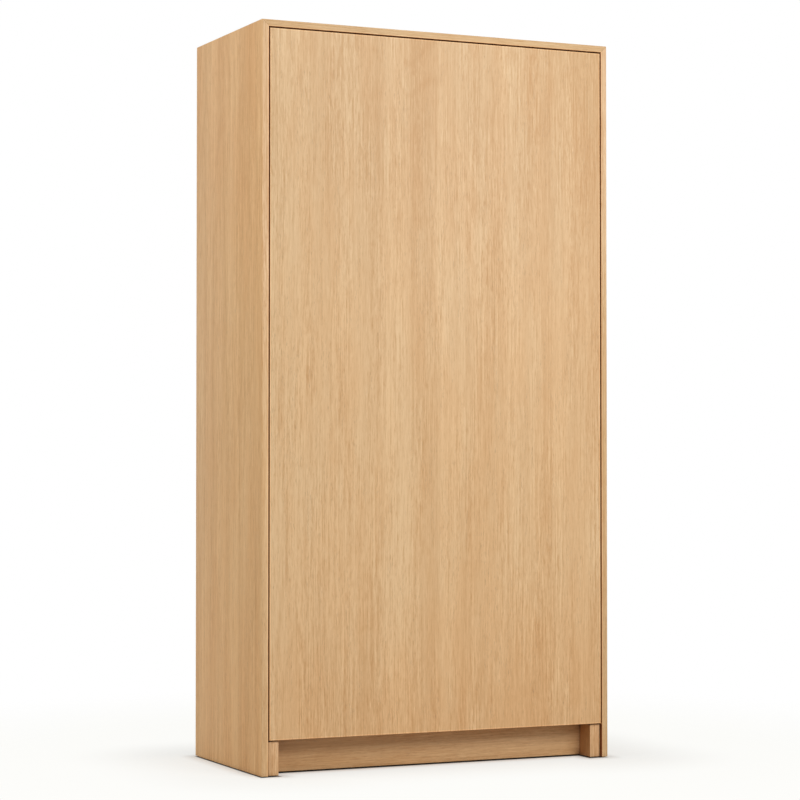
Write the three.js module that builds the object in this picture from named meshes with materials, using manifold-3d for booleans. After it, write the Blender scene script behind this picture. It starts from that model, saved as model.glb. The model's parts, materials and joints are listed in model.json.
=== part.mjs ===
// A tall oak-veneered cabinet with one plain door set flush in a thin surround.
// Millimetres, +Z up. The front faces -Y and the origin lies on the floor under the middle of the cabinet.
import * as THREE from "three";
import { mergeVertices } from "three/addons/utils/BufferGeometryUtils.js";
import Module from "manifold-3d";

const wasm = await Module();
wasm.setup();

// Outside sizes
const width = 1000;
const depth = 485;
const height = 1920;

// Surround and inner boards
const boardThickness = 18;
const edgeRadius = 2.5;
const housingDepth = 6;
const housingEndPlay = 0.2;
const housingHeightPlay = 0.2;
const mitreGap = 0.2;
const backThickness = 6;
const backInset = 18;
const backGrooveDepth = 8;
const backPlay = 0.3;

// Door
const doorThickness = 18;
const doorGap = 3;
const doorBottom = 92;
const doorBackGap = 6;

// Base
const glideThickness = 2.5;
const glideInset = 4;
const footWidth = 30;
const footDepth = 80;
const footSetback = 9;
const footSideGap = 2;
const footTopGap = 3;
const plinthThickness = 18;
const plinthSetback = 65;
const plinthFloorGap = 4;

// Loose tongues in the two mitred corners
const tongueThickness = 4;
const tongueWidth = 14;
const tongueEndInset = 22;
const tongueGap = 0.3;
const tongueFromInnerCorner = 9;

// Shelves and their pins
const shelfCount = 4;
const fixedShelfIndex = 1;
const shelfStep = 0.5;
const shelfSetback = 40;
const shelfSideGap = 0.6;
const shelfBackGap = 2;
const holePitch = 32;
const holeLine = 37;
const holesEachWay = 2;
const holeRadius = 2.6;
const holeDepth = 9;
const pinRadius = 2.4;
const pinInside = 8;
const pinOutside = 9;
const pinCollarRadius = 4;
const pinCollarThickness = 1.2;
const pinCollarGap = 0.3;
const pinShelfGap = 0.3;

// Rail behind which the wall screws go, and the steel angle that ties it to the top
const railHeight = 80;
const railThickness = 18;
const angleWidth = 40;
const angleLeg = 36;
const angleSteel = 2.5;
const angleHoleRadius = 2.6;
const angleHoleSpacing = 22;

// Concealed hinges: the arm hooks into the cup and the cup turns on one pin
const hingeCount = 4;
const hingeEndDistance = 100;
const axisInset = 11;
const axisDepth = 6.6;
const cupEdgeDistance = 4;
const cupBoreRadius = 17.5;
const cupBoreDepth = 14.5;
const cupPlay = 0.2;
const cupWall = 1;
const cupFloor = 0.7;
const flangeThickness = 1.2;
const flangeRim = 2;
const earSpacing = 45;
const earOffset = 6;
const earRadius = 6;
const earHoleRadius = 2.1;
const hingePinRadius = 1.1;
const hingePinLength = 25.8;
const hingePinFit = 0.05;
const eyeFit = 0.1;
const eyeWall = 0.7;
const neckWidth = 2.6;
const neckHeight = 11;
const armWidth = 14;
const armRise = 8.5;
const armSteel = 1.2;
const armNose = 4;
const armLength = 58;
const armFromEdge = 6;
const armSlotRadius = 2.3;
const armSlotLength = 5;
const armSlotPlace = 44;
// Spine of the arm's neck, as inward from the door's edge and back from the door's front
const neckSpine = [[18, 6.4], [24.5, 7.2], [28.5, 12], [28.4, 18.5], [24.5, 24], [17, 27.6], [9, 30.6], [4.5, 32.3]];
const neckSteps = 26;
const plateThickness = 3;
const plateWingThickness = 2;
const plateFromEdge = 37;
const plateWidth = 16;
const plateLength = 50;
const plateWingSpan = 52;
const plateWingWidth = 13;
const plateScrewSpacing = 32;
const plateHoleRadius = 2.6;
const bossWidth = 10.6;
const bossRise = 6.8;
const bossLength = 40;
const bossHoleRadius = 1.8;
const bossHoleDepth = 6;

// Push latch at the side away from the hinges
const latchWidth = 24;
const latchHeight = 18;
const latchLength = 76;
const latchSetback = 1;
const latchBoreFit = 0.4;
const latchPlateThickness = 3;
const latchPlateLength = 40;
const latchPlateHeight = 38;
const latchHoleSpacing = 28;
const latchHoleRadius = 2.1;
const plungerRadius = 5;
const plungerTip = 1.5;
const plungerLength = 62;
const plungerTipGap = 0.3;
const plungerRearPlay = 2;
const strikeRadius = 7;
const strikeThickness = 1.5;

// Door buffers
const bufferRadius = 4.5;
const bufferGap = 0.3;
const bufferSideInset = 60;

// One overrun for every cut, and the facets of round shapes
const overrun = 5;
const quarterSteps = 4;
const smallRound = 12;
const pinRound = 16;
const wideRound = 36;
const weldDistance = 0.0001;

// Planes that follow from the sizes above
const halfWidth = width / 2;
const halfDepth = depth / 2;
const innerX = halfWidth - boardThickness;
const innerTop = height - boardThickness;
const doorEdgeX = innerX - doorGap;
const doorBackY = -halfDepth + doorThickness;
const carcassFrontY = doorBackY + doorBackGap;
const backFrontY = halfDepth - backInset - backThickness;
const bottomBaseZ = doorBottom - footTopGap;
const bottomTopZ = bottomBaseZ + boardThickness;
const bayHeight = (innerTop - bottomTopZ - shelfCount * boardThickness) / (shelfCount + 1);
const hingeTopZ = innerTop - doorGap - hingeEndDistance;
const hingeBottomZ = doorBottom + hingeEndDistance;

const shades = {
  oak: { color: 0xddb68c, roughness: 0.55, metalness: 0 },
  oakInside: { color: 0xdbb78f, roughness: 0.6, metalness: 0 },
  plywood: { color: 0xd8bd92, roughness: 0.7, metalness: 0 },
  steel: { color: 0xc9cbcc, roughness: 0.3, metalness: 1 },
  zinc: { color: 0xb9bcbe, roughness: 0.35, metalness: 1 },
  plastic: { color: 0x8d8f90, roughness: 0.5, metalness: 0 },
  felt: { color: 0x3b332b, roughness: 0.95, metalness: 0 },
  rubber: { color: 0xe6e6e0, roughness: 0.4, metalness: 0 },
};

const cabinet = new THREE.Group();
cabinet.name = "oak_cabinet";

function solidOf(geometry) {
  geometry.deleteAttribute("normal");
  geometry.deleteAttribute("uv");
  const welded = mergeVertices(geometry, weldDistance);
  return new wasm.Manifold(new wasm.Mesh({
    numProp: 3,
    vertProperties: new Float32Array(welded.attributes.position.array),
    triVerts: new Uint32Array(welded.index.array),
  }));
}

function add(name, solid, shade) {
  const mesh = solid.getMesh();
  const geometry = new THREE.BufferGeometry();
  geometry.setAttribute("position", new THREE.BufferAttribute(mesh.vertProperties, mesh.numProp));
  geometry.setIndex(new THREE.BufferAttribute(mesh.triVerts, 1));
  geometry.computeVertexNormals();
  const node = new THREE.Mesh(geometry, new THREE.MeshStandardMaterial(shades[shade]));
  node.name = name;
  node.material.name = shade;
  cabinet.add(node);
}

function box(x0, x1, y0, y1, z0, z1) {
  const geometry = new THREE.BoxGeometry(x1 - x0, y1 - y0, z1 - z0);
  geometry.translate((x0 + x1) / 2, (y0 + y1) / 2, (z0 + z1) / 2);
  return solidOf(geometry);
}

// The drawn plane of each axis, and the place from which its prism grows
const planes = {
  x: { first: [0, 1, 0], second: [0, 0, 1], along: [1, 0, 0] },
  y: { first: [1, 0, 0], second: [0, 0, 1], along: [0, -1, 0] },
  z: { first: [1, 0, 0], second: [0, 1, 0], along: [0, 0, 1] },
};

// A prism along an axis: points are (y, z) for x, (x, z) for y and (x, y) for z
function prism(points, axis, from, to) {
  const shape = new THREE.Shape(points.map(([a, b]) => new THREE.Vector2(a, b)));
  const geometry = new THREE.ExtrudeGeometry(shape, { depth: to - from, bevelEnabled: false });
  const plane = planes[axis];
  const [first, second, along] = [plane.first, plane.second, plane.along].map((v) => new THREE.Vector3(...v));
  geometry.applyMatrix4(new THREE.Matrix4().makeBasis(first, second, along));
  const start = axis === "y" ? to : from;
  geometry.translate(axis === "x" ? start : 0, axis === "y" ? start : 0, axis === "z" ? start : 0);
  return solidOf(geometry);
}

function ring(a, b, radius, steps) {
  const points = [];
  for (let i = 0; i < steps; i += 1) {
    const angle = (2 * Math.PI * i) / steps;
    points.push([a + radius * Math.cos(angle), b + radius * Math.sin(angle)]);
  }
  return points;
}

function rod(axis, a, b, radius, from, to, steps) {
  return prism(ring(a, b, radius, steps), axis, from, to);
}

// What comes off an outer edge along an axis to leave it rounded; signs point into the board
function edgeWaste(axis, a, b, signA, signB, from, to) {
  const points = [
    [a - signA * overrun, b + signB * edgeRadius],
    [a - signA * overrun, b - signB * overrun],
    [a + signA * edgeRadius, b - signB * overrun],
  ];
  for (let i = 0; i <= quarterSteps; i += 1) {
    const angle = (Math.PI / 2) * (i / quarterSteps);
    points.push([
      a + signA * edgeRadius * (1 - Math.sin(angle)),
      b + signB * edgeRadius * (1 - Math.cos(angle)),
    ]);
  }
  return prism(points, axis, from, to);
}

// Bottom faces of the shelves, at even bays rounded to the step
function shelfBase(index) {
  const exact = bottomTopZ + (index + 1) * bayHeight + index * boardThickness;
  return Math.round(exact / shelfStep) * shelfStep;
}

const adjustable = [];
for (let i = 0; i < shelfCount; i += 1) {
  if (i !== fixedShelfIndex) {
    adjustable.push(shelfBase(i));
  }
}
const fixedBase = shelfBase(fixedShelfIndex);
const pinColumns = { front: carcassFrontY + holeLine, rear: backFrontY - holeLine };

function pinCentre(base) {
  return base - pinShelfGap - pinRadius;
}

// A rectangle across the mitre of the right corner, centred on it, in x and z
function tongueSection(side, play) {
  const along = Math.SQRT1_2;
  const middle = tongueFromInnerCorner * along;
  const thick = (tongueThickness / 2 + play) * along;
  const wide = (tongueWidth / 2 + play) * along;
  return [[1, 1], [-1, 1], [-1, -1], [1, -1]].map(([t, w]) => [
    side * (innerX + middle + t * thick + w * wide),
    innerTop + middle + t * thick - w * wide - mitreGap / 2,
  ]);
}

function tongueSolid(side, play) {
  return prism(tongueSection(side, play), "y", -halfDepth + tongueEndInset - play,
    backFrontY - tongueEndInset + play);
}

function buildSidePanel(side, name) {
  let panel = prism([
    [side * halfWidth, glideThickness],
    [side * halfWidth, height - mitreGap],
    [side * innerX, innerTop - mitreGap],
    [side * innerX, glideThickness],
  ], "y", -halfDepth, halfDepth);
  const housingX = [side * (innerX - overrun), side * (innerX + housingDepth)].sort((a, b) => a - b);
  const grooveX = [side * (innerX - overrun), side * (innerX + backGrooveDepth)].sort((a, b) => a - b);
  const holeX = [side * (innerX - overrun), side * (innerX + holeDepth)].sort((a, b) => a - b);
  panel = panel.subtract(edgeWaste("z", side * halfWidth, -halfDepth, -side, 1, -overrun, height + overrun));
  for (const base of [bottomBaseZ, fixedBase]) {
    panel = panel.subtract(box(...housingX, carcassFrontY, backFrontY + backPlay,
      base, base + boardThickness + housingHeightPlay));
  }
  panel = panel.subtract(box(...grooveX, backFrontY, backFrontY + backThickness + backPlay,
    bottomBaseZ, height + overrun));
  for (const base of adjustable) {
    for (const y of Object.values(pinColumns)) {
      for (let i = -holesEachWay; i <= holesEachWay; i += 1) {
        panel = panel.subtract(rod("x", y, pinCentre(base) + i * holePitch, holeRadius, ...holeX, smallRound));
      }
    }
  }
  add(name, panel.subtract(tongueSolid(side, tongueGap)), "oak");
}

function buildTop() {
  let top = prism([
    [-halfWidth, height],
    [halfWidth, height],
    [innerX, innerTop],
    [-innerX, innerTop],
  ], "y", -halfDepth, halfDepth);
  top = top.subtract(edgeWaste("x", -halfDepth, height, 1, -1, -halfWidth - overrun, halfWidth + overrun));
  for (const side of [-1, 1]) {
    top = top.subtract(edgeWaste("z", side * halfWidth, -halfDepth, -side, 1,
      innerTop - overrun, height + overrun));
    top = top.subtract(tongueSolid(side, tongueGap));
  }
  const reach = innerX + backGrooveDepth;
  top = top.subtract(box(-reach, reach, backFrontY, backFrontY + backThickness + backPlay,
    innerTop - overrun, innerTop + backGrooveDepth));
  add("top_panel", top, "oak");
}

function buildSurround() {
  buildSidePanel(-1, "side_panel_left");
  buildSidePanel(1, "side_panel_right");
  buildTop();
  add("corner_tongue_left", tongueSolid(-1, 0), "plywood");
  add("corner_tongue_right", tongueSolid(1, 0), "plywood");
}

function buildInside() {
  const housed = innerX + housingDepth - housingEndPlay;
  add("bottom_panel", box(-housed, housed, carcassFrontY, backFrontY, bottomBaseZ, bottomTopZ), "oakInside");
  add("fixed_shelf", box(-housed, housed, carcassFrontY, backFrontY, fixedBase, fixedBase + boardThickness),
    "oakInside");
  const grooved = innerX + backGrooveDepth - backPlay;
  add("back_panel", box(-grooved, grooved, backFrontY, backFrontY + backThickness,
    bottomBaseZ, innerTop + backGrooveDepth - backPlay), "plywood");
  add("wall_rail", box(-innerX, innerX, backFrontY - railThickness, backFrontY,
    innerTop - railHeight, innerTop), "oakInside");
  const shelfX = innerX - shelfSideGap;
  adjustable.forEach((base, i) => {
    add(`adjustable_shelf_${i + 1}`, box(-shelfX, shelfX, -halfDepth + shelfSetback,
      backFrontY - shelfBackGap, base, base + boardThickness), "oakInside");
  });
}

function buildShelfPins() {
  const sides = { left: -1, right: 1 };
  adjustable.forEach((base, i) => {
    const z = pinCentre(base);
    for (const [sideName, side] of Object.entries(sides)) {
      for (const [column, y] of Object.entries(pinColumns)) {
        const shank = [side * (innerX - pinOutside), side * (innerX + pinInside)].sort((a, b) => a - b);
        const face = innerX - pinCollarGap;
        const collar = [side * (face - pinCollarThickness), side * face].sort((a, b) => a - b);
        const flat = box(collar[0] - overrun, collar[1] + overrun, y - pinCollarRadius - overrun,
          y + pinCollarRadius + overrun, z + pinRadius, z + pinRadius + overrun);
        const disc = rod("x", y, z, pinCollarRadius, ...collar, smallRound).subtract(flat);
        add(`shelf_pin_${i + 1}_${sideName}_${column}`,
          rod("x", y, z, pinRadius, ...shank, smallRound).add(disc), "steel");
      }
    }
  });
}

function buildAngle() {
  const wallY = backFrontY - railThickness;
  let angle = prism([
    [wallY, innerTop],
    [wallY - angleLeg, innerTop],
    [wallY - angleLeg, innerTop - angleSteel],
    [wallY - angleSteel, innerTop - angleSteel],
    [wallY - angleSteel, innerTop - angleLeg],
    [wallY, innerTop - angleLeg],
  ], "x", -angleWidth / 2, angleWidth / 2);
  for (const x of [-angleHoleSpacing / 2, angleHoleSpacing / 2]) {
    const middle = angleSteel + (angleLeg - angleSteel) / 2;
    angle = angle.subtract(rod("z", x, wallY - middle, angleHoleRadius,
      innerTop - angleSteel - overrun, innerTop + overrun, smallRound));
    angle = angle.subtract(rod("y", x, innerTop - middle, angleHoleRadius,
      wallY - angleSteel - overrun, wallY + overrun, smallRound));
  }
  add("rail_angle", angle, "zinc");
}

function buildBase() {
  const rows = {
    front: [-halfDepth + footSetback, -halfDepth + footSetback + footDepth],
    rear: [backFrontY - footDepth, backFrontY],
  };
  const sides = { left: -1, right: 1 };
  const outer = innerX - footSideGap;
  for (const [sideName, side] of Object.entries(sides)) {
    for (const [row, [y0, y1]] of Object.entries(rows)) {
      const footX = [side * (outer - footWidth), side * outer].sort((a, b) => a - b);
      const glideX = [side * (outer - footWidth + glideInset), side * (halfWidth - glideInset)].sort((a, b) => a - b);
      add(`foot_${row}_${sideName}`, box(...footX, y0, y1, glideThickness, bottomBaseZ), "oak");
      add(`glide_${row}_${sideName}`, box(...glideX, y0 + glideInset, y1 - glideInset, 0, glideThickness), "felt");
    }
  }
  const inner = outer - footWidth;
  const plinthY = -halfDepth + plinthSetback;
  add("plinth_board", box(-inner, inner, plinthY, plinthY + plinthThickness, plinthFloorGap, bottomBaseZ), "oak");
}

// Hinge plan: inward is the distance from the door's hinge edge, back the distance from the door's front
function hingePlan(inward, back) {
  return [doorEdgeX - inward, -halfDepth + back];
}

function hingeHeight(index) {
  return hingeBottomZ + (index * (hingeTopZ - hingeBottomZ)) / (hingeCount - 1);
}

const cupInward = cupEdgeDistance + cupBoreRadius;
const [cupX, cupBoreEndY] = hingePlan(cupInward, doorThickness - cupBoreDepth);

function buildDoor() {
  let door = box(-doorEdgeX, doorEdgeX, -halfDepth, doorBackY, doorBottom, innerTop - doorGap);
  for (let i = 0; i < hingeCount; i += 1) {
    door = door.subtract(rod("y", cupX, hingeHeight(i), cupBoreRadius, cupBoreEndY, doorBackY + overrun, wideRound));
  }
  add("door_panel", door, "oak");
}

function stadium(axis, a, b, halfLength, radius, from, to, steps) {
  const ends = [-halfLength, halfLength].map((shift) => rod(axis, a, b + shift, radius, from, to, steps));
  return wasm.Manifold.hull(ends);
}

function buildCup(z, name) {
  const outer = cupBoreRadius - cupPlay;
  const inner = outer - cupWall;
  const flangeY = doorBackY + flangeThickness;
  const [, floorY] = hingePlan(cupInward, doorThickness - cupBoreDepth + cupPlay);
  let cup = rod("y", cupX, z, outer, floorY, flangeY, wideRound);
  cup = cup.add(rod("y", cupX, z, cupBoreRadius + flangeRim, doorBackY, flangeY, wideRound));
  const earX = cupX - earOffset;
  cup = cup.add(stadium("y", earX, z, earSpacing / 2, earRadius, doorBackY, flangeY, pinRound));
  cup = cup.subtract(rod("y", cupX, z, inner, floorY + cupFloor, flangeY + overrun, wideRound));
  for (const shift of [-earSpacing / 2, earSpacing / 2]) {
    cup = cup.subtract(rod("y", earX, z + shift, earHoleRadius, doorBackY - overrun, flangeY + overrun, smallRound));
  }
  const [pinX, pinY] = hingePlan(axisInset, axisDepth);
  cup = cup.subtract(rod("z", pinX, pinY, hingePinRadius + hingePinFit,
    z - outer - overrun, z + outer + overrun, pinRound));
  add(`hinge_cup_${name}`, cup, "steel");
  add(`hinge_pin_${name}`, rod("z", pinX, pinY, hingePinRadius, z - hingePinLength / 2, z + hingePinLength / 2,
    pinRound), "steel");
}

// The neck: a strip of even width laid along its spine
function neckStrip(start, z) {
  const spine = new THREE.SplineCurve([start, ...neckSpine].map(([a, b]) => new THREE.Vector2(...hingePlan(a, b))));
  const near = [];
  const far = [];
  for (let i = 0; i <= neckSteps; i += 1) {
    const point = spine.getPointAt(i / neckSteps);
    const tangent = spine.getTangentAt(i / neckSteps);
    const half = neckWidth / 2;
    near.push([point.x - tangent.y * half, point.y + tangent.x * half]);
    far.unshift([point.x + tangent.y * half, point.y - tangent.x * half]);
  }
  return prism([...near, ...far], "z", z - neckHeight / 2, z + neckHeight / 2);
}

function buildArm(z, name) {
  const [pinX, pinY] = hingePlan(axisInset, axisDepth);
  const armFrontY = carcassFrontY + armFromEdge;
  const webX = doorEdgeX - armRise;
  const bore = hingePinRadius + eyeFit;
  let arm = box(webX, doorEdgeX, armFrontY, armFrontY + armLength, z - armWidth / 2, z + armWidth / 2);
  arm = arm.subtract(box(webX + armSteel, doorEdgeX + overrun, armFrontY + armNose, armFrontY + armLength + overrun,
    z - armWidth / 2 + armSteel, z + armWidth / 2 - armSteel));
  arm = arm.add(neckStrip([axisInset, axisDepth], z));
  arm = arm.add(rod("z", pinX, pinY, bore + eyeWall, z - neckHeight / 2, z + neckHeight / 2, pinRound));
  arm = arm.subtract(rod("z", pinX, pinY, bore, z - neckHeight, z + neckHeight, pinRound));
  const slotEnds = [-1, 1].map((way) => rod("x", armFrontY + armSlotPlace + (way * armSlotLength) / 2, z,
    armSlotRadius, webX - overrun, webX + armSteel + overrun, smallRound));
  add(`hinge_arm_${name}`, arm.subtract(wasm.Manifold.hull(slotEnds)), "steel");
}

function buildPlate(z, name) {
  const middleY = carcassFrontY + plateFromEdge;
  const wingX = innerX - plateWingThickness;
  let plate = box(innerX - plateThickness, innerX, middleY - plateLength / 2, middleY + plateLength / 2,
    z - plateWidth / 2, z + plateWidth / 2);
  plate = plate.add(box(wingX, innerX, middleY - plateWingWidth / 2, middleY + plateWingWidth / 2,
    z - plateWingSpan / 2, z + plateWingSpan / 2));
  plate = plate.add(box(doorEdgeX - bossRise, innerX, middleY - bossLength / 2, middleY + bossLength / 2,
    z - bossWidth / 2, z + bossWidth / 2));
  for (const shift of [-plateScrewSpacing / 2, plateScrewSpacing / 2]) {
    plate = plate.subtract(rod("x", middleY, z + shift, plateHoleRadius, wingX - overrun, innerX + overrun, smallRound));
  }
  const screwY = carcassFrontY + armFromEdge + armSlotPlace;
  plate = plate.subtract(rod("x", screwY, z, bossHoleRadius, doorEdgeX - bossRise - overrun,
    doorEdgeX - bossRise + bossHoleDepth, smallRound));
  add(`hinge_plate_${name}`, plate, "steel");
}

function buildHinges() {
  for (let i = 0; i < hingeCount; i += 1) {
    buildCup(hingeHeight(i), i + 1);
    buildArm(hingeHeight(i), i + 1);
    buildPlate(hingeHeight(i), i + 1);
  }
}

function buildLatch() {
  const z = (doorBottom + innerTop - doorGap) / 2;
  const wallX = -innerX;
  const boreX = wallX + latchWidth / 2;
  const frontY = carcassFrontY + latchSetback;
  const strikeY = doorBackY + strikeThickness;
  const tipY = strikeY + plungerTipGap;
  const bore = plungerRadius + latchBoreFit;
  const middleY = frontY + latchLength / 2;
  let housing = box(wallX, wallX + latchWidth, frontY, frontY + latchLength, z - latchHeight / 2, z + latchHeight / 2);
  housing = housing.add(box(wallX, wallX + latchPlateThickness, middleY - latchPlateLength / 2,
    middleY + latchPlateLength / 2, z - latchPlateHeight / 2, z + latchPlateHeight / 2));
  housing = housing.subtract(rod("y", boreX, z, bore, frontY - overrun,
    tipY + plungerLength + plungerRearPlay, pinRound));
  for (const shift of [-latchHoleSpacing / 2, latchHoleSpacing / 2]) {
    housing = housing.subtract(rod("x", middleY, z + shift, latchHoleRadius,
      wallX - overrun, wallX + latchPlateThickness + overrun, smallRound));
  }
  add("latch_housing", housing, "plastic");
  const shank = rod("y", boreX, z, plungerRadius, tipY + plungerTip, tipY + plungerLength, pinRound);
  const tip = rod("y", boreX, z, plungerRadius - plungerTip, tipY, tipY + plungerLength, pinRound);
  add("latch_plunger", wasm.Manifold.hull([shank, tip]), "plastic");
  add("strike_plate", rod("y", boreX, z, strikeRadius, doorBackY, strikeY, pinRound), "zinc");
}

function buildBuffers() {
  const x = -innerX + bufferSideInset;
  const heights = { lower: bottomBaseZ, upper: fixedBase };
  for (const [name, base] of Object.entries(heights)) {
    add(`door_buffer_${name}`, rod("y", x, base + boardThickness / 2, bufferRadius,
      doorBackY + bufferGap, carcassFrontY, pinRound), "rubber");
  }
}

buildSurround();
buildInside();
buildShelfPins();
buildAngle();
buildBase();
buildDoor();
buildHinges();
buildLatch();
buildBuffers();

export default cabinet;
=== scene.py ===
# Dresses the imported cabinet: oak veneer, eased edges, screws, felt and metal, with camera, floor and light.
import json
import math

import bmesh
import bpy
from mathutils import Euler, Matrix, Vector


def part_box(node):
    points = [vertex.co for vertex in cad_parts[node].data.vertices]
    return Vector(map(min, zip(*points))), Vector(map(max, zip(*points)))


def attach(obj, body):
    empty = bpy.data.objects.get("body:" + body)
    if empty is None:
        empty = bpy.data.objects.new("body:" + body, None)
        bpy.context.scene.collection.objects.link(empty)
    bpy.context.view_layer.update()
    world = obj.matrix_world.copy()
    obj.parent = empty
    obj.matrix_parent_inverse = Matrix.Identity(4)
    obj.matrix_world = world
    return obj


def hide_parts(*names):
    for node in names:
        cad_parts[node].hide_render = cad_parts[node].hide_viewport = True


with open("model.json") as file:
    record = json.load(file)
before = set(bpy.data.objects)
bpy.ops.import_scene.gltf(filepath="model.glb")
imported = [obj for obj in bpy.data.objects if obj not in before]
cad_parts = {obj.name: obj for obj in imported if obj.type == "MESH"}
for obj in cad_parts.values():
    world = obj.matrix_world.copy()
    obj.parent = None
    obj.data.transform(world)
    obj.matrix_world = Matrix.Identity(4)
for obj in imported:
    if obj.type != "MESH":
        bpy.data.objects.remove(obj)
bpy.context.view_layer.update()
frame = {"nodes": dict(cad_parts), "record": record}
scene = bpy.context.scene

camera = {
    "place": (-2.7459, -5.9390, 0.8107),
    "yaw": 24.7820,
    "pitch": 1.3240,
    "lens": 108.890,
    "sensor": 36.0,
    "near": 0.05,
    "far": 60.0,
}

# Front edges at the door gap: for each board, the axis and the distance from the middle or the floor, in metres
gapEdges = {
    "door": ((0, 0.479), (2, 1.899), (2, 0.092)),
    "side": ((0, 0.482),),
    "top": ((2, 1.902),),
}
# Painted lines along them, dark shade and pale highlight: front and pale end in metres, dark and pale in width shares
gapShadeAndHighlight = {
    "front": (-0.2417, -0.2409),
    "dark": (0.6, 1.4),
    "pale": (0.8, 1.5),
    "highlightEnd": (0.0026, 0.0040),
    "shadeTint": (0.50, 0.25, 0.08),
    "highlightTint": (1.20, 1.18, 1.15),
}
# Painted shade in gaps and corners: reach in metres, and the open share where it is full and where it ends
paintedCreviceShade = {
    "reach": 0.03,
    "samples": 6,
    "steps": (0.08, 0.50),
    "tint": (0.17, 0.05, 0.012),
}


# A material's nodes, made with short calls
class Tree:
    def __init__(self, name):
        self.material = bpy.data.materials.new(name)
        self.material.use_nodes = True
        self.nodes = self.material.node_tree.nodes
        self.links = self.material.node_tree.links
        self.shader = self.nodes["Principled BSDF"]

    def put(self, socket, value):
        if isinstance(value, bpy.types.NodeSocket):
            self.links.new(value, socket)
        elif value is not None:
            socket.default_value = value

    def coordinates(self):
        return self.nodes.new("ShaderNodeTexCoord").outputs["Object"]

    def split(self, vector):
        node = self.nodes.new("ShaderNodeSeparateXYZ")
        self.put(node.inputs[0], vector)
        return node.outputs

    def join(self, x, y, z):
        node = self.nodes.new("ShaderNodeCombineXYZ")
        for socket, value in zip(node.inputs, (x, y, z)):
            self.put(socket, value)
        return node.outputs[0]

    def scaled(self, axes, factor):
        return self.join(*(self.math("MULTIPLY", axis, factor) for axis in axes))

    def math(self, operation, a, b=None, c=None, clamp=False):
        node = self.nodes.new("ShaderNodeMath")
        node.operation = operation
        node.use_clamp = clamp
        for socket, value in zip(node.inputs, (a, b, c)):
            self.put(socket, value)
        return node.outputs[0]

    def noise(self, vector, detail=2.0, rough=0.5, distortion=0.0):
        node = self.nodes.new("ShaderNodeTexNoise")
        node.noise_dimensions = "3D"
        self.put(node.inputs["Vector"], vector)
        node.inputs["Scale"].default_value = 1.0
        node.inputs["Detail"].default_value = detail
        node.inputs["Roughness"].default_value = rough
        node.inputs["Distortion"].default_value = distortion
        return node.outputs["Fac"]

    def spread(self, value, low, high, toLow=0.0, toHigh=1.0):
        node = self.nodes.new("ShaderNodeMapRange")
        node.interpolation_type = "SMOOTHSTEP"
        for key, number in (("From Min", low), ("From Max", high), ("To Min", toLow), ("To Max", toHigh)):
            node.inputs[key].default_value = number
        self.put(node.inputs["Value"], value)
        return node.outputs[0]

    def mix(self, share, a, b, blend="MIX"):
        node = self.nodes.new("ShaderNodeMix")
        node.data_type = "RGBA"
        node.blend_type = blend
        self.put(node.inputs[0], share)
        self.put(node.inputs[6], a)
        self.put(node.inputs[7], b)
        return node.outputs[2]

    # How deep a spot lies in a gap or corner, from 0 on open faces to 1, as the share of painted shade
    def depth(self):
        node = self.nodes.new("ShaderNodeAmbientOcclusion")
        node.samples = paintedCreviceShade["samples"]
        node.inputs["Distance"].default_value = paintedCreviceShade["reach"]
        return self.spread(node.outputs["AO"], *paintedCreviceShade["steps"], 1.0, 0.0)

    # Shares of the painted shade line at a board's gap edges, the painted highlight line beside it, and the front
    def gapShadeAndHighlightShares(self, axes, edges, width):
        distance = None
        for axis, place in edges:
            away = self.math("ABSOLUTE", self.math("SUBTRACT", self.math("ABSOLUTE", axes[axis]), place))
            distance = away if distance is None else self.math("MINIMUM", distance, away)
        front = self.spread(axes[1], *gapShadeAndHighlight["front"], 1.0, 0.0)
        shadeSteps, highlightSteps = ([width * step for step in gapShadeAndHighlight[line]] for line in ("dark", "pale"))
        dark = self.math("MULTIPLY", front, self.spread(distance, *shadeSteps, 1.0, 0.0))
        pale = self.math("MULTIPLY", self.spread(distance, *highlightSteps),
                         self.spread(distance, *gapShadeAndHighlight["highlightEnd"], 1.0, 0.0))
        return dark, self.math("MULTIPLY", front, pale), front

    def bump(self, height, distance, strength=1.0):
        node = self.nodes.new("ShaderNodeBump")
        node.inputs["Distance"].default_value = distance
        node.inputs["Strength"].default_value = strength
        self.put(node.inputs["Height"], height)
        self.put(self.shader.inputs["Normal"], node.outputs[0])


def rgba(r, g, b):
    return (r, g, b, 1.0)


# Oak, as grain-aligned coordinates: across the board, through it, and along the grain
grainOrders = {"x": (1, 2, 0), "y": (0, 2, 1), "z": (0, 1, 2)}

# Leaves of veneer on a wide board: where each starts across it, and how light it is
doorLeaves = (
    (-0.479, 0.70), (-0.392, 0.64), (-0.318, 0.58), (-0.232, 0.53), (-0.160, 0.64), (-0.084, 0.42),
    (-0.006, 0.59), (0.070, 0.54), (0.150, 0.56), (0.232, 0.49), (0.330, 0.56), (0.392, 0.50),
)
# Slow changes up the board: start and end height and change of tone, or heights, shares and tint
doorFades = ((-0.2, -0.1, -0.04), (0.1, 0.55, 0.12), (1.15, 1.75, -0.24))
sideFades = ((-0.2, -0.1, 0.06), (0.5, 0.9, -0.07), (1.2, 1.7, -0.13))
# Painted sheen and light on the door: bluer towards the top, warmer towards the bottom
doorPaintedLight = ((0.1, 0.6, (1.0, 0.0), (0.985, 0.955, 0.925)), (1.0, 1.8, (0.0, 1.0), (0.995, 1.035, 1.075)))
# Painted light on the sides: warmer towards the bottom
sidePaintedLight = ((0.1, 1.0, (1.0, 0.0), (1.03, 0.985, 0.925)),)
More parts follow.
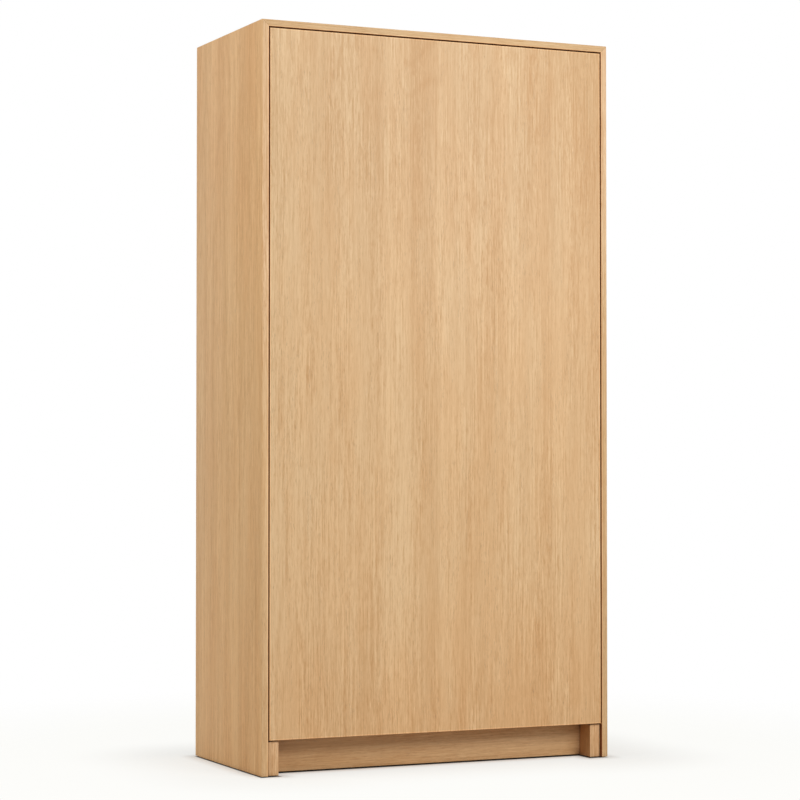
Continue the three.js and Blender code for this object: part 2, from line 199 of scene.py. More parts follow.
# Painted light on the front of the sides: bluer, darker towards the bottom and lighter towards the top
stilePaintedLight = ((0.2, 0.8, (1.0, 0.0), (0.85, 0.91, 1.06)), (0.2, 0.8, (0.0, 1.0), (0.95, 0.995, 1.115)),
                 (0.9, 1.7, (0.0, 1.0), (1.05, 1.10, 1.24)))
sideLeaves = (
    (-0.2425, 0.53), (-0.205, 0.46), (-0.155, 0.33), (-0.118, 0.36), (-0.076, 0.65), (-0.045, 0.56),
    (-0.015, 0.40), (0.045, 0.48), (0.075, 0.61), (0.105, 0.53), (0.165, 0.48), (0.200, 0.40),
)
leafSoftness = 0.006

# Grain layers: changes per metre across and along the grain, shift, detail and roughness
grainLayers = {
    "broad": (6.0, 0.55, 1.7, 1.0, 0.55),
    "band": (24.0, 0.9, 4.1, 2.0, 0.55),
    "line": (330.0, 3.0, 19.6, 1.0, 0.5),
    "streak": (300.0, 20.0, 7.9, 1.0, 0.6),
    "dash": (430.0, 60.0, 26.8, 1.0, 0.5),
    "fibre": (900.0, 60.0, 12.3, 2.0, 0.6),
    "contour": (4.2, 0.62, 15.1, 1.0, 0.4),
    "ringZone": (3.0, 0.7, 21.4, 0.0, 0.55),
    "pore": (900.0, 55.0, 31.2, 1.0, 0.55),
    "poreGroup": (60.0, 6.0, 37.5, 1.0, 0.55),
    "fleck": (340.0, 24.0, 43.7, 1.0, 0.4),
    "flake": (310.0, 16.0, 51.9, 1.0, 0.3),
    "patch": (22.0, 2.0, 66.6, 2.0, 0.55),
    "hue": (15.0, 2.6, 61.3, 2.0, 0.55),
}
# Where a layer starts to show and where it shows fully
grainSteps = {
    "dash": (0.54, 0.68),
    "ringZone": (0.46, 0.62),
    "pore": (0.62, 0.70),
    "poreGroup": (0.42, 0.62),
    "fleck": (0.59, 0.69),
    "flake": (0.57, 0.74),
    "patch": (0.34, 0.66),
    "hue": (0.35, 0.65),
}
# Fine layers: the middle value and how far each moves the tone
fineWeights = {
    "line": (0.5, 1.0),
    "streak": (0.5, 0.88),
    "fibre": (0.5, 0.75),
    "dash": (0.25, -0.19),
    "fleck": (0.13, -0.20),
    "flake": (0.2, 0.16),
}
grain = {
    "wander": 0.026,
    "broad": 0.40,
    "rings": 26.0,
    "ringWidth": 0.20,
    "ringTone": -0.13,
    "patchRange": (0.60, 1.30),
    "pinkTint": (1.0, 0.955, 0.905),
    "poreShare": 0.42,
    "poreTint": (0.30, 0.165, 0.075),
    "sheen": 0.12,
    "relief": 0.00012,
}


# Adds up one smooth step per leaf edge, and returns a tone around a half
def leafTone(tree, across, leaves):
    tone = leaves[0][1]
    for (_, before), (start, after) in zip(leaves, leaves[1:]):
        step = tree.spread(across, start - leafSoftness, start + leafSoftness, 0.0, after - before)
        tone = tree.math("ADD", step, tone)
    return tone


def oakMaterial(name, along, seed, light, dark, warmth=0.75, leaves=None, leafAxis=0, rough=0.46, contrast=1.0,
                fades=(), bands=0.55, edges=None, lineWidth=0.00065, shade=None, shadeColor=(0.68, 0.52, 0.36),
                paintedLightTints=(), frontLightTints=()):
    tree = Tree(name)
    axes = tree.split(tree.coordinates())
    across, through, length = (axes[i] for i in grainOrders[along])
    # the grain wanders a little along its length
    slow = tree.noise(tree.join(tree.math("MULTIPLY", across, 3.0), tree.math("MULTIPLY", through, 3.0),
                                tree.math("MULTIPLY_ADD", length, 1.1, seed)), 1.0)
    wander = tree.math("MULTIPLY_ADD", slow, grain["wander"], -grain["wander"] / 2)
    a = tree.math("ADD", across, wander)
    b = tree.math("ADD", through, wander)

    def field(layer):
        scaleAcross, scaleAlong, shift, detail, layerRough = grainLayers[layer]
        return tree.noise(tree.join(
            tree.math("MULTIPLY_ADD", a, scaleAcross, seed + shift),
            tree.math("MULTIPLY", b, scaleAcross),
            tree.math("MULTIPLY_ADD", length, scaleAlong, shift)), detail, layerRough)

    def marks(layer, low=0.0, high=1.0):
        return tree.spread(field(layer), *grainSteps[layer], low, high)

    broad = field("broad")
    band = field("band")
    fine = {"line": field("line"), "streak": field("streak"), "dash": marks("dash"), "fibre": field("fibre")}
    # year rings cut at a flat angle: contour lines of a slow field make the pointed arches
    contour = tree.math("MULTIPLY", field("contour"), grain["rings"])
    ringLine = tree.spread(tree.math("PINGPONG", contour, 0.5), 0.0, grain["ringWidth"], 1.0, 0.0)
    rings = tree.math("MULTIPLY", ringLine, marks("ringZone"))
    # pores: short dark dashes, in loose groups
    pores = tree.math("MULTIPLY", marks("pore"), marks("poreGroup"))
    # flecks are coarser and dark, and flakes are pale
    fine["fleck"] = marks("fleck")
    fine["flake"] = marks("flake")

    tone = tree.math("MULTIPLY_ADD", broad, grain["broad"] * contrast, 0.5 - grain["broad"] / 2 * contrast)
    tone = tree.math("MULTIPLY_ADD", tree.math("SUBTRACT", band, 0.5), bands * contrast, tone)
    # the fine grain is strong in some patches and faint in others
    patch = marks("patch", *grain["patchRange"])
    total = 0.0
    for layer, (centre, weight) in fineWeights.items():
        total = tree.math("MULTIPLY_ADD", tree.math("SUBTRACT", fine[layer], centre), weight * contrast, total)
    tone = tree.math("MULTIPLY_ADD", total, patch, tone)
    for low, high, change in fades:
        tone = tree.math("ADD", tree.spread(length, low, high, 0.0, change), tone)
    if leaves:
        leaf = leafTone(tree, tree.math("MULTIPLY_ADD", wander, 0.25, axes[leafAxis]), leaves)
        tone = tree.math("ADD", tree.math("SUBTRACT", leaf, 0.5), tone)
    tone = tree.math("MULTIPLY_ADD", rings, grain["ringTone"] * contrast, tone, clamp=True)
    color = tree.mix(tone, rgba(*dark), rgba(*light))
    # some zones are pinker, some yellower
    color = tree.mix(marks("hue", 0.0, warmth), color, rgba(*grain["pinkTint"]), "MULTIPLY")
    # painted light by height: sheen towards the top and warmer light towards the bottom
    for low, high, share, tint in paintedLightTints:
        color = tree.mix(tree.spread(length, low, high, *share), color, rgba(*tint), "MULTIPLY")
    color = tree.mix(tree.math("MULTIPLY", pores, grain["poreShare"]), color, rgba(*grain["poreTint"]))
    if edges:
        shadeLine, highlightLine, front = tree.gapShadeAndHighlightShares(axes, edges, lineWidth)
        # painted light on the front: darker low, lighter and bluer high
        for low, high, share, tint in frontLightTints:
            share = tree.math("MULTIPLY", front, tree.spread(length, low, high, *share))
            color = tree.mix(share, color, rgba(*tint), "MULTIPLY")
        # a painted highlight line beside each gap, and a painted shade line on its edge
        color = tree.mix(highlightLine, color, rgba(*gapShadeAndHighlight["highlightTint"]), "MULTIPLY")
        color = tree.mix(shadeLine, color, rgba(*gapShadeAndHighlight["shadeTint"]), "MULTIPLY")
    if shade:
        color = tree.mix(shade(tree, axes), color, rgba(*shadeColor), "MULTIPLY")
    # painted shade: gaps and corners are darkened in the colour
    color = tree.mix(tree.depth(), color, rgba(*paintedCreviceShade["tint"]), "MULTIPLY")
    tree.put(tree.shader.inputs["Base Color"], color)
    tree.put(tree.shader.inputs["Roughness"], tree.math("MULTIPLY_ADD", fine["fibre"], grain["sheen"], rough))
    height = tree.math("MULTIPLY_ADD", pores, -1.0, tree.math("MULTIPLY", fine["fibre"], 0.35))
    tree.bump(height, grain["relief"], 0.55)
    return tree.material


# Places of painted shade: the inner side faces of the feet, and those of the sides below the door
shadePlaces = {
    "foot": (0.4503, 0.4512),
    "side": (0.4822, 0.4828),
    "belowDoor": (0.089, 0.092),
}


def footShade(tree, axes):
    return tree.spread(tree.math("ABSOLUTE", axes[0]), *shadePlaces["foot"], 1.0, 0.0)


def toeShade(tree, axes):
    inner = tree.spread(tree.math("ABSOLUTE", axes[0]), *shadePlaces["side"], 1.0, 0.0)
    return tree.math("MULTIPLY", inner, tree.spread(axes[2], *shadePlaces["belowDoor"], 1.0, 0.0))


def plywoodMaterial(name, along, seed):
    return oakMaterial(name, along, seed, (0.71, 0.50, 0.30), (0.52, 0.335, 0.18), 0.4, rough=0.58, contrast=0.9)


# Fine and wide noise in changes per metre, and the depth of the relief in metres
surfaces = {
    "metal": {"fine": 900.0, "wide": 60.0, "relief": 0.00003},
    "plastic": {"fine": 1400.0, "wide": 40.0, "relief": 0.00004},
    "felt": {"fine": 2600.0, "wide": 180.0, "relief": 0.0003},
    "rubber": {"fine": 700.0, "relief": 0.00004},
}


def metalMaterial(name, color, rough, brushed=0.0):
    look = surfaces["metal"]
    tree = Tree(name)
    axes = tree.split(tree.coordinates())
    scale = look["fine"]
    lines = tree.noise(tree.join(tree.math("MULTIPLY", axes[0], scale), tree.math("MULTIPLY", axes[1], scale),
                                 tree.math("MULTIPLY", axes[2], scale * (1.0 - brushed) + 30.0)), 2.0)
    cloud = tree.noise(tree.scaled(axes, look["wide"]), 3.0)
    tree.put(tree.shader.inputs["Base Color"], tree.mix(
        tree.spread(cloud, 0.3, 0.7), rgba(*(0.86 * c for c in color)), rgba(*color)))
    tree.put(tree.shader.inputs["Roughness"], tree.math("MULTIPLY_ADD", lines, 0.22, rough - 0.08))
    tree.shader.inputs["Metallic"].default_value = 1.0
    tree.bump(lines, look["relief"], 0.4)
    return tree.material


def plasticMaterial(name, color, rough):
    look = surfaces["plastic"]
    tree = Tree(name)
    axes = tree.split(tree.coordinates())
    fine = tree.noise(tree.scaled(axes, look["fine"]), 2.0)
    wide = tree.noise(tree.scaled(axes, look["wide"]), 2.0)
    tree.put(tree.shader.inputs["Base Color"], tree.mix(
        tree.spread(wide, 0.3, 0.7), rgba(*(0.92 * c for c in color)), rgba(*color)))
    tree.put(tree.shader.inputs["Roughness"], tree.math("MULTIPLY_ADD", fine, 0.16, rough - 0.08))
    tree.bump(fine, look["relief"], 0.5)
    return tree.material


def feltMaterial(name):
    look = surfaces["felt"]
    tree = Tree(name)
    axes = tree.split(tree.coordinates())
    tuft = tree.noise(tree.scaled(axes, look["fine"]), 4.0, 0.7, 0.6)
    cloud = tree.noise(tree.scaled(axes, look["wide"]), 3.0)
    share = tree.math("MULTIPLY_ADD", tuft, 0.7, tree.math("MULTIPLY", cloud, 0.3))
    tree.put(tree.shader.inputs["Base Color"], tree.mix(
        tree.spread(share, 0.3, 0.7), rgba(0.018, 0.014, 0.011), rgba(0.075, 0.060, 0.048)))
    tree.put(tree.shader.inputs["Roughness"], tree.spread(tuft, 0.2, 0.8, 0.86, 1.0))
    tree.bump(tuft, look["relief"], 0.9)
    return tree.material


def rubberMaterial(name):
    look = surfaces["rubber"]
    tree = Tree(name)
    axes = tree.split(tree.coordinates())
    fine = tree.noise(tree.scaled(axes, look["fine"]), 2.0)
    tree.put(tree.shader.inputs["Base Color"], tree.mix(
        tree.spread(fine, 0.3, 0.7), rgba(0.70, 0.70, 0.66), rgba(0.80, 0.80, 0.76)))
    tree.put(tree.shader.inputs["Roughness"], tree.spread(fine, 0.2, 0.8, 0.26, 0.36))
    tree.shader.inputs["Transmission Weight"].default_value = 0.35
    tree.shader.inputs["IOR"].default_value = 1.45
    tree.bump(fine, look["relief"], 0.4)
    return tree.material


oakLight = (0.838, 0.574, 0.314)
oakDark = (0.593, 0.325, 0.129)
topLight = (0.836, 0.590, 0.332)
topDark = (0.592, 0.341, 0.141)
sideLight = (0.874, 0.569, 0.270)
sideDark = (0.619, 0.324, 0.111)
footLight = (0.793, 0.525, 0.284)
footDark = (0.560, 0.296, 0.1175)
# The plinth's oak is painted darker, as painted shade in the recess under the door
plinthShadedLight = (0.680, 0.427, 0.212)
plinthShadedDark = (0.465, 0.245, 0.094)
insideLight = (0.83, 0.540, 0.265)
insideDark = (0.60, 0.330, 0.130)


def sideMaterial(name, seed, lineWidth):
    return oakMaterial(name, "z", seed, sideLight, sideDark, leaves=sideLeaves, leafAxis=1, bands=0.95,
                       paintedLightTints=sidePaintedLight, fades=sideFades, edges=gapEdges["side"], lineWidth=lineWidth,
                       shade=toeShade, shadeColor=(0.30, 0.16, 0.08), frontLightTints=stilePaintedLight)


materials = {
    "door": oakMaterial("oak_door", "z", 3.1, oakLight, oakDark, leaves=doorLeaves, leafAxis=0, paintedLightTints=doorPaintedLight,
                        fades=doorFades, edges=gapEdges["door"]),
    "left": sideMaterial("oak_side_left", 17.4, 0.00065),
    "right": sideMaterial("oak_side_right", 29.8, 0.001),
    "top": oakMaterial("oak_top", "x", 41.2, topLight, topDark, rough=0.56, edges=gapEdges["top"], lineWidth=0.0011),
    "foot": oakMaterial("oak_foot", "z", 53.9, footLight, footDark, shade=footShade),
    "plinth": oakMaterial("oak_plinth_shaded", "x", 67.3, plinthShadedLight, plinthShadedDark),
    "inside": oakMaterial("oak_inside", "x", 71.6, insideLight, insideDark),
    "back": plywoodMaterial("oak_back", "z", 83.5),
    "tongue": plywoodMaterial("plywood", "y", 97.1),
    "steel": metalMaterial("nickel_steel", (0.66, 0.66, 0.65), 0.30),
    "zinc": metalMaterial("zinc_steel", (0.58, 0.59, 0.60), 0.36, 0.9),
    "plastic": plasticMaterial("grey_plastic", (0.27, 0.28, 0.285), 0.46),
    "whitePlastic": plasticMaterial("pale_plastic", (0.62, 0.62, 0.60), 0.40),
    "felt": feltMaterial("felt"),
    "rubber": rubberMaterial("clear_rubber"),
}
print("materials", len(materials))


# Puts a finished piece on its body, in place of its nodes
def settle(piece, body, slot, *nodes):
    for polygon in piece.data.polygons:
        polygon.use_smooth = True
    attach(piece, body)
    if nodes:
        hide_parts(*nodes)


# Works a piece's modifiers into its mesh
def evaluated(piece):
    graph = bpy.context.evaluated_depsgraph_get()
    mesh = bpy.data.meshes.new_from_object(piece.evaluated_get(graph), depsgraph=graph)
    piece.modifiers.clear()
    piece.data = mesh
    return piece


# Merge distance in metres, and angles in degrees: faces that turn less are joined, edges that turn more are eased
ease = {"merge": 1e-6, "flat": 0.5, "sharp": 32.0, "segments": 2}


# A dressed copy of a node, with eased edges
def easedCopy(node, radius, material):
    source = frame["nodes"][node]
    work = bmesh.new()
    work.from_mesh(source.data)
    bmesh.ops.remove_doubles(work, verts=work.verts, dist=ease["merge"])
    bmesh.ops.dissolve_limit(work, angle_limit=math.radians(ease["flat"]), verts=work.verts,
                             edges=work.edges)
    mesh = bpy.data.meshes.new(node + "_dressed")
    work.to_mesh(mesh)
    work.free()
    mesh.materials.clear()
    mesh.materials.append(material)
    for polygon in mesh.polygons:
        polygon.material_index = 0
        polygon.use_smooth = True
    piece = bpy.data.objects.new(node + "_dressed", mesh)
    scene.collection.objects.link(piece)
    bevel = piece.modifiers.new("ease", "BEVEL")
    bevel.width = radius
    bevel.segments = ease["segments"]
    bevel.limit_method = "ANGLE"
    bevel.angle_limit = math.radians(ease["sharp"])
    bevel.harden_normals = True
    return evaluated(piece)


bodyOf = {node: body for body, nodes in frame["record"]["behaviour"]["bodies"].items() for node in nodes}
slotOf = {entry["node"]: entry["material_slot"] for entry in frame["record"]["subparts"]}

# Which material and edge radius (mm) each family of nodes gets, by the start of its name
dressing = (
    ("door_panel", "door", 0.8),
    ("side_panel_left", "left", 0.5),
    ("side_panel_right", "right", 0.5),
    ("top_panel", "top", 0.4),
    ("foot_", "foot", 0.7),
    ("plinth_board", "plinth", 0.6),
    ("bottom_panel", "inside", 0.5),
    ("fixed_shelf", "inside", 0.5),
    ("adjustable_shelf", "inside", 0.8),
    ("wall_rail", "inside", 0.6),
    ("back_panel", "back", 0.2),
    ("corner_tongue", "tongue", 0.3),
    ("shelf_pin", "steel", 0.25),
    ("rail_angle", "zinc", 0.4),
    ("hinge_cup", "steel", 0.2),
    ("hinge_pin", "zinc", 0.1),
    ("hinge_arm", "steel", 0.25),
    ("hinge_plate", "steel", 0.25),
    ("latch_housing", "plastic", 0.6),
    ("latch_plunger", "whitePlastic", 0.3),
    ("strike_plate", "zinc", 0.3),
    ("door_buffer", "rubber", 0.8),
    ("glide_", "felt", 0.4),
)

for node in sorted(frame["nodes"]):
    for start, material, radius in dressing:
        if node.startswith(start):
            settle(easedCopy(node, radius / 1000, materials[material]), bodyOf[node], slotOf[node], node)
            break
    else:
        raise ValueError("no dressing for " + node)
print("dressed", len(frame["nodes"]))


# Screws: one turned head with a cross recess, set on points by a geometry node group.
# Profile points are shares of radius and rise. An arm of the cross is armHalf of its length to each side, and
# the floor of the cross is smaller and lies at floorRise of the rise.
headShape = {
    "steps": 28,
    "profile": ((1.0, 0.0), (1.0, 0.35), (0.93, 0.70), (0.72, 0.94), (0.58, 1.0)),
    "armHalf": 0.26,
    "floor": 0.72,
    "floorRise": 0.25,
}


def screwHead(name, radius, rise, recess):
    work = bmesh.new()
    steps = headShape["steps"]
    profile = [(radius * outward, rise * upward) for outward, upward in headShape["profile"]]
    rings = []
    for r, z in profile:
        rings.append([work.verts.new((r * math.cos(2 * math.pi * i / steps), r * math.sin(2 * math.pi * i / steps), z))
                      for i in range(steps)])
    for lower, upper in zip(rings, rings[1:]):
        for i in range(steps):
            work.faces.new((lower[i], lower[(i + 1) % steps], upper[(i + 1) % steps], upper[i]))
    work.faces.new(list(reversed(rings[0])))
    arm, half = recess, recess * headShape["armHalf"]
    corners = ((arm, -half), (arm, half), (half, half), (half, arm), (-half, arm), (-half, half),
               (-arm, half), (-arm, -half), (-half, -half), (-half, -arm), (half, -arm), (half, -half))
    upper = [work.verts.new((x, y, rise)) for x, y in corners]
    floor = headShape["floor"]
    lower = [work.verts.new((x * floor, y * floor, rise * headShape["floorRise"])) for x, y in corners]
    rim = [work.edges.get((rings[-1][i], rings[-1][(i + 1) % steps])) for i in range(steps)]
    cross = [work.edges.new((upper[i], upper[(i + 1) % len(upper)])) for i in range(len(upper))]
    bmesh.ops.triangle_fill(work, edges=rim + cross, use_beauty=True)
    for i in range(len(upper)):
        following = (i + 1) % len(upper)
        work.faces.new((upper[following], upper[i], lower[i], lower[following]))
    work.faces.new(lower)
    bmesh.ops.recalc_face_normals(work, faces=work.faces)
    mesh = bpy.data.meshes.new(name)
    work.to_mesh(mesh)
    work.free()
    return bpy.data.objects.new(name, mesh)


def screwGroup():
    group = bpy.data.node_groups.new("screws_on_points", "GeometryNodeTree")
    face = group.interface
    face.new_socket("Geometry", in_out="INPUT", socket_type="NodeSocketGeometry")
    face.new_socket("Head", in_out="INPUT", socket_type="NodeSocketObject")
    face.new_socket("Material", in_out="INPUT", socket_type="NodeSocketMaterial")
    face.new_socket("Seed", in_out="INPUT", socket_type="NodeSocketInt")
    face.new_socket("Geometry", in_out="OUTPUT", socket_type="NodeSocketGeometry")
    make, link = group.nodes.new, group.links.new
    given, result = make("NodeGroupInput"), make("NodeGroupOutput")
    points = make("GeometryNodeMeshToPoints")
    link(given.outputs["Geometry"], points.inputs["Mesh"])
    head = make("GeometryNodeObjectInfo")
    link(given.outputs["Head"], head.inputs["Object"])
    aim = make("GeometryNodeInputNamedAttribute")
    aim.data_type = "FLOAT_VECTOR"
    aim.inputs["Name"].default_value = "aim"
    align = make("FunctionNodeAlignRotationToVector")
    align.axis = "Z"
    link(aim.outputs["Attribute"], align.inputs["Vector"])
    turn = make("FunctionNodeRandomValue")
    turn.data_type = "FLOAT"
    turn.inputs[3].default_value = math.pi / 2
    link(given.outputs["Seed"], turn.inputs["Seed"])
    spin = make("ShaderNodeCombineXYZ")
    link(turn.outputs[1], spin.inputs["Z"])
    asRotation = make("FunctionNodeEulerToRotation")
    link(spin.outputs[0], asRotation.inputs[0])
    turned = make("FunctionNodeRotateRotation")
    turned.rotation_space = "LOCAL"
    link(align.outputs[0], turned.inputs[0])
    link(asRotation.outputs[0], turned.inputs[1])
    place = make("GeometryNodeInstanceOnPoints")
    link(points.outputs[0], place.inputs["Points"])
    link(head.outputs["Geometry"], place.inputs["Instance"])
    link(turned.outputs[0], place.inputs["Rotation"])
    real = make("GeometryNodeRealizeInstances")
    link(place.outputs[0], real.inputs[0])
    paint = make("GeometryNodeSetMaterial")
    link(real.outputs[0], paint.inputs["Geometry"])
    link(given.outputs["Material"], paint.inputs["Material"])
    link(paint.outputs[0], result.inputs[0])
    return group


screws = screwGroup()
heads = {
    "wood": screwHead("wood_screw_head", 0.0032, 0.0014, 0.0017),
    "small": screwHead("small_screw_head", 0.0027, 0.0012, 0.0015),
    "pan": screwHead("pan_screw_head", 0.0036, 0.0016, 0.0019),
}


# Each spot is a place in metres and the direction that its head faces
def setScrews(name, head, spots, material, body, slot, seed):
    mesh = bpy.data.meshes.new(name)
    mesh.from_pydata([place for place, _ in spots], [], [])
    aims = mesh.attributes.new("aim", "FLOAT_VECTOR", "POINT")
    for i, (_, direction) in enumerate(spots):
        aims.data[i].vector = direction
    piece = bpy.data.objects.new(name, mesh)
    scene.collection.objects.link(piece)
    modifier = piece.modifiers.new("screws", "NODES")
    modifier.node_group = screws
    values = {"Head": heads[head], "Material": material, "Seed": seed}
    for item in screws.interface.items_tree:
        if item.item_type == "SOCKET" and item.in_out == "INPUT" and item.name in values:
            modifier[item.identifier] = values[item.name]
    evaluated(piece)
    piece.data.materials.clear()
    piece.data.materials.append(material)
    for polygon in piece.data.polygons:
        polygon.material_index = 0
    settle(piece, body, slot)


def middle(node):
    low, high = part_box(node)
    return (low + high) / 2


# Where the screws sit, in metres from the faces and middles of the pieces
hingeScrews = {
    "wing": 0.002,
    "plateShift": 0.016,
    "armFace": 0.0085,
    "armBack": (0.014, 0.040),
    "cupMiddle": 0.0195,
    "ear": 0.006,
    "cupShift": 0.0225,
}
latchScrews = {"flange": 0.003, "shift": 0.014}
angleScrews = {"steel": 0.0025, "leg": 0.01675, "shift": 0.011}
backScrews = {"boards": ("bottom_panel", "fixed_shelf", "wall_rail"), "count": 7, "inset": 0.07}

hingeCount = sum(node.startswith("hinge_cup") for node in frame["nodes"])
plateSpots, armSpots, cupSpots = [], [], []
for i in range(1, hingeCount + 1):
    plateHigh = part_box(f"hinge_plate_{i}")[1]
    centre = middle(f"hinge_plate_{i}")
    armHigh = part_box(f"hinge_arm_{i}")[1]
    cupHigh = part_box(f"hinge_cup_{i}")[1]
    wingFace = plateHigh.x - hingeScrews["wing"]
    earX = cupHigh.x - hingeScrews["cupMiddle"] - hingeScrews["ear"]
    for side in (-1, 1):
        plateSpots.append(((wingFace, centre.y, centre.z + side * hingeScrews["plateShift"]), (-1, 0, 0)))
        cupSpots.append(((earX, cupHigh.y, centre.z + side * hingeScrews["cupShift"]), (0, 1, 0)))
    for back in hingeScrews["armBack"]:
        armSpots.append(((armHigh.x - hingeScrews["armFace"], armHigh.y - back, centre.z), (-1, 0, 0)))
setScrews("hinge_plate_screws", "wood", plateSpots, materials["zinc"], "cabinet", "steel", 3)
setScrews("hinge_arm_screws", "small", armSpots, materials["zinc"], "cabinet", "steel", 5)
setScrews("hinge_cup_screws", "wood", cupSpots, materials["zinc"], "door", "steel", 7)

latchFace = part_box("latch_housing")[0].x + latchScrews["flange"]
latchMiddle = middle("latch_housing")
latchSpots = [((latchFace, latchMiddle.y, latchMiddle.z + side * latchScrews["shift"]), (1, 0, 0))
              for side in (-1, 1)]
setScrews("latch_screws", "small", latchSpots, materials["zinc"], "cabinet", "steel", 11)

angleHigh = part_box("rail_angle")[1]
steel, leg = angleScrews["steel"], angleScrews["leg"]
angleSpots = []
for side in (-1, 1):
    x = middle("rail_angle").x + side * angleScrews["shift"]
    angleSpots.append(((x, angleHigh.y - steel - leg, angleHigh.z - steel), (0, 0, -1)))
    angleSpots.append(((x, angleHigh.y - steel, angleHigh.z - steel - leg), (0, -1, 0)))
setScrews("angle_screws", "wood", angleSpots, materials["zinc"], "cabinet", "zinc", 13)

backLow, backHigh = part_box("back_panel")
inset, gaps = backScrews["inset"], backScrews["count"] - 1
backSpots = []
for board in backScrews["boards"]:
    for k in range(backScrews["count"]):
        x = backLow.x + inset + k * (backHigh.x - backLow.x - 2 * inset) / gaps
        backSpots.append(((x, backHigh.y, middle(board).z), (0, 1, 0)))
setScrews("back_panel_screws", "pan", backSpots, materials["zinc"], "cabinet", "zinc", 17)
print("screws", sum(map(len, (plateSpots, armSpots, cupSpots, latchSpots, angleSpots, backSpots))))


# Floor, light and camera. Footprints are middle and half size in x, then in y. Steps are distances in metres,
# and the shares at both ends where they aren't 0 and 1.
floorLook = {
    "half": 3.0,
    "fade": (0.9, 2.1),
    "cabinet": (0.0, 0.50, 0.0325, 0.21),
    "foot": (0.473, 0.026, 0.0, 0.2405),
    # the steps below and the colour under the cabinet paint a shadow on the floor near and under it
    "edge": (0.0, 0.003),
    "close": (0.0, 0.05, 0.22, 0.66),
    "far": (0.02, 0.38, 0.0, 0.30),
    "contact": (0.0, 0.006),
    "paintedShadowColor": (0.30, 0.27, 0.24),
    "seenColor": (0.93, 0.93, 0.905),
    "litColor": (0.62, 0.615, 0.60),
    "white": (1.0, 0.998, 0.972),
    "whiteStrength": 0.99,
}


# 1 for the rays that show the backdrop: the camera's, mirrored ones and those that pass through
def backdropRays(nodes, links):
    path = nodes.new("ShaderNodeLightPath")
    total = path.outputs["Is Camera Ray"]
    for name in ("Is Glossy Ray", "Is Transmission Ray"):
        either = nodes.new("ShaderNodeMath")
        either.operation = "MAXIMUM"
        links.new(total, either.inputs[0])
        links.new(path.outputs[name], either.inputs[1])
        total = either.outputs[0]
    return total


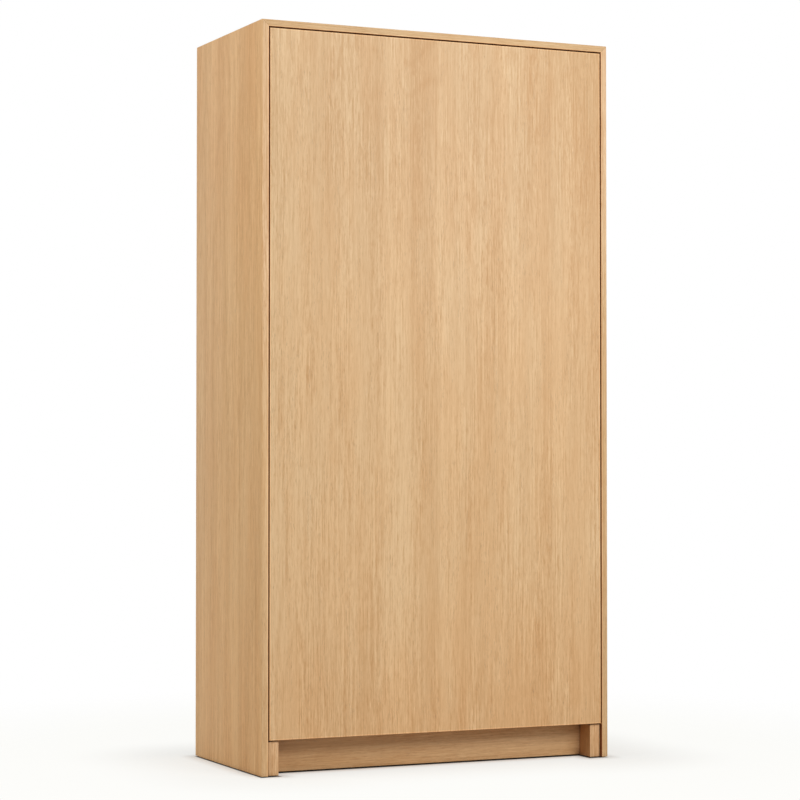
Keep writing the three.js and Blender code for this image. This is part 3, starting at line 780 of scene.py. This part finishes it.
def stageFloor():
    tree = Tree("pale_floor")
    tree.shader.inputs["Roughness"].default_value = 0.85
    tree.shader.inputs["Specular IOR Level"].default_value = 0.1
    axes = tree.split(tree.coordinates())
    reach = tree.math("SQRT", tree.math("ADD", tree.math("MULTIPLY", axes[0], axes[0]),
                                        tree.math("MULTIPLY", axes[1], axes[1])))
    fade = tree.spread(reach, *floorLook["fade"])
    direct = backdropRays(tree.nodes, tree.links)

    def outside(middleX, halfX, middleY, halfY):
        beyond = [tree.math("MAXIMUM", tree.math("SUBTRACT", tree.math("ABSOLUTE", offset), half), 0.0)
                  for offset, half in ((tree.math("SUBTRACT", tree.math("ABSOLUTE", axes[0]), middleX), halfX),
                                       (tree.math("SUBTRACT", axes[1], middleY), halfY))]
        return tree.math("SQRT", tree.math("ADD", tree.math("MULTIPLY", beyond[0], beyond[0]),
                                           tree.math("MULTIPLY", beyond[1], beyond[1])))

    # away from the cabinet the camera sees the floor nearly white, close to it the shaded floor with painted shadow
    away = tree.math("MINIMUM", outside(*floorLook["cabinet"]), outside(*floorLook["foot"]))
    near = tree.math("MULTIPLY", tree.spread(away, *floorLook["edge"]), tree.spread(away, *floorLook["close"]))
    share = tree.math("ADD", near, tree.spread(away, *floorLook["far"]))
    # painted shadow: the floor under the cabinet's footprint is dark
    under = tree.mix(tree.spread(away, *floorLook["contact"]), rgba(*floorLook["paintedShadowColor"]),
                     rgba(*floorLook["seenColor"]))
    tree.put(tree.shader.inputs["Base Color"], tree.mix(direct, rgba(*floorLook["litColor"]), under))
    white = tree.nodes.new("ShaderNodeEmission")
    white.inputs["Color"].default_value = rgba(*floorLook["white"])
    white.inputs["Strength"].default_value = floorLook["whiteStrength"]
    bright = tree.nodes.new("ShaderNodeMixShader")
    tree.put(bright.inputs[0], tree.math("MULTIPLY", direct, share))
    tree.links.new(tree.shader.outputs[0], bright.inputs[1])
    tree.links.new(white.outputs[0], bright.inputs[2])
    clear = tree.nodes.new("ShaderNodeBsdfTransparent")
    blend = tree.nodes.new("ShaderNodeMixShader")
    tree.put(blend.inputs[0], fade)
    tree.links.new(bright.outputs[0], blend.inputs[1])
    tree.links.new(clear.outputs[0], blend.inputs[2])
    tree.links.new(blend.outputs[0], tree.nodes["Material Output"].inputs["Surface"])
    mesh = bpy.data.meshes.new("floor")
    half = floorLook["half"]
    mesh.from_pydata([(-half, -half, 0), (half, -half, 0), (half, half, 0), (-half, half, 0)], [], [(0, 1, 2, 3)])
    mesh.materials.append(tree.material)
    floor = bpy.data.objects.new("floor", mesh)
    scene.collection.objects.link(floor)


def areaLight(name, place, target, size, power, glare=True):
    light = bpy.data.lights.new(name, "AREA")
    light.shape = "RECTANGLE"
    light.size, light.size_y = size
    light.energy = power
    lamp = bpy.data.objects.new(name, light)
    lamp.location = place
    lamp.visible_glossy = glare
    lamp.rotation_euler = (Vector(target) - Vector(place)).to_track_quat("-Z", "Y").to_euler()
    scene.collection.objects.link(lamp)


def whiteWorld(strength):
    world = bpy.data.worlds.new("studio")
    scene.world = world
    world.use_nodes = True
    nodes, links = world.node_tree.nodes, world.node_tree.links
    nodes.clear()
    seen = nodes.new("ShaderNodeBackground")
    seen.inputs["Color"].default_value = rgba(1, 1, 1)
    seen.inputs["Strength"].default_value = 1.0
    lit = nodes.new("ShaderNodeBackground")
    lit.inputs["Color"].default_value = rgba(1, 0.995, 0.985)
    lit.inputs["Strength"].default_value = strength
    mix = nodes.new("ShaderNodeMixShader")
    output = nodes.new("ShaderNodeOutputWorld")
    links.new(backdropRays(nodes, links), mix.inputs[0])
    links.new(lit.outputs[0], mix.inputs[1])
    links.new(seen.outputs[0], mix.inputs[2])
    links.new(mix.outputs[0], output.inputs[0])


stageFloor()
whiteWorld(0.31)
areaLight("key", (1.05, -4.9, 3.4), (0.0, -0.2, 1.15), (5.0, 2.0), 200.0)
areaLight("side", (-3.9, 0.3, 3.4), (0.0, 0.0, 1.0), (3.0, 2.0), 85.0, glare=False)

view = bpy.data.cameras.new("camera")
view.lens = camera["lens"]
view.sensor_width = camera["sensor"]
view.clip_start = camera["near"]
view.clip_end = camera["far"]
eye = bpy.data.objects.new("camera", view)
eye.location = camera["place"]
eye.rotation_euler = Euler((math.radians(90.0 + camera["pitch"]), 0.0, math.radians(-camera["yaw"])), "XYZ")
scene.collection.objects.link(eye)
scene.camera = eye
scene.view_settings.view_transform = "Standard"
scene.view_settings.look = "None"
scene.view_settings.exposure = 0.0
scene.view_settings.gamma = 1.0


def corners(box):
    return [list(map(float, corner)) for corner in box]
